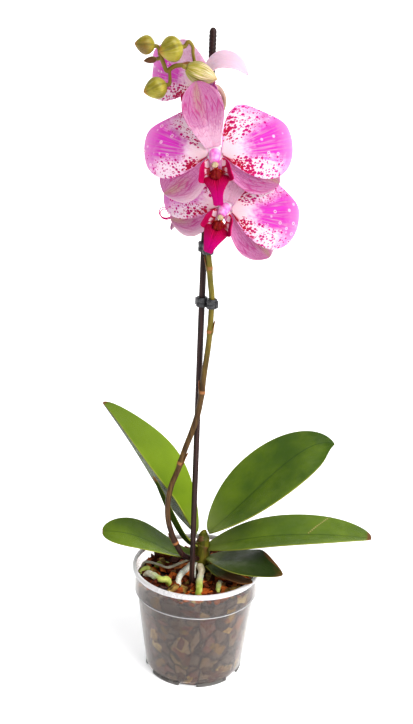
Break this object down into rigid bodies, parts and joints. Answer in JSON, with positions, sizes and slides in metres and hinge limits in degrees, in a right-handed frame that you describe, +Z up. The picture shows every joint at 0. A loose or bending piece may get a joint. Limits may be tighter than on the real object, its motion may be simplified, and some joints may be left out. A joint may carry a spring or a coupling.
{
  "type": "potted orchid",
  "caption": "Moth orchid with spotted pink flowers and buds on an arching spike, in a clear nursery pot of bark chips with a dark support stake.",
  "frame": {"origin": "middle of the pot's underside, on the floor", "axes": "+Z up, -Y towards the front, where the flowers face; +X to the viewer's right"},
  "size_m": [0.2493, 0.143, 0.5865],
  "materials": {
    "clear_plastic": "glossy",
    "bark_chips": "matte",
    "stem_green": "satin",
    "leaf_green": "satin",
    "old_leaf": "matte",
    "root_skin": "matte",
    "spike_skin": "satin",
    "stake_brown": "satin",
    "clip_grey": "satin",
    "petal_pink": "matte",
    "sepal_mauve": "matte",
    "lip_crimson": "satin",
    "column_pink": "satin",
    "bud_green": "satin"
  },
  "bodies": {
    "root": {"pot": "clear_plastic", "bark_mix": "bark_chips", "stem": "stem_green", "root_front": "root_skin", "root_silver": "root_skin", "root_lime": "root_skin", "root_dry": "root_skin", "root_back_left": "root_skin", "root_left": "root_skin", "root_right": "root_skin", "root_thin": "root_skin", "leaf_upper_left": "leaf_green", "leaf_upper_right": "leaf_green", "leaf_right": "leaf_green", "leaf_lower_right": "leaf_green", "leaf_lower_left": "leaf_green", "leaf_narrow": "leaf_green", "leaf_old": "old_leaf", "stake": "stake_brown", "clip_lower": "clip_grey", "clip_upper": "clip_grey", "spike": "spike_skin", "bloom_front_dorsal_sepal": "sepal_mauve", "bloom_front_left_sepal": "sepal_mauve", "bloom_front_right_sepal": "sepal_mauve", "bloom_front_left_petal": "petal_pink", "bloom_front_right_petal": "petal_pink", "bloom_front_lip": "lip_crimson", "bloom_front_column": "column_pink", "bloom_low_dorsal_sepal": "sepal_mauve", "bloom_low_left_sepal": "sepal_mauve", "bloom_low_right_sepal": "sepal_mauve", "bloom_low_left_petal": "petal_pink", "bloom_low_right_petal": "petal_pink", "bloom_low_lip": "lip_crimson", "bloom_low_column": "column_pink", "bloom_top_dorsal_sepal": "sepal_mauve", "bloom_top_left_sepal": "sepal_mauve", "bloom_top_right_sepal": "sepal_mauve", "bloom_top_left_petal": "petal_pink", "bloom_top_right_petal": "petal_pink", "bloom_top_lip": "lip_crimson", "bloom_top_column": "column_pink", "bloom_left_dorsal_sepal": "sepal_mauve", "bloom_left_left_sepal": "sepal_mauve", "bloom_left_right_sepal": "sepal_mauve", "bloom_left_left_petal": "petal_pink", "bloom_left_right_petal": "petal_pink", "bloom_left_lip": "lip_crimson", "bloom_left_column": "column_pink", "bud_end": "bud_green", "bud_tall": "bud_green", "bud_big": "bud_green", "bud_low": "bud_green", "bud_tiny": "bud_green"}
  },
  "joints": []
}
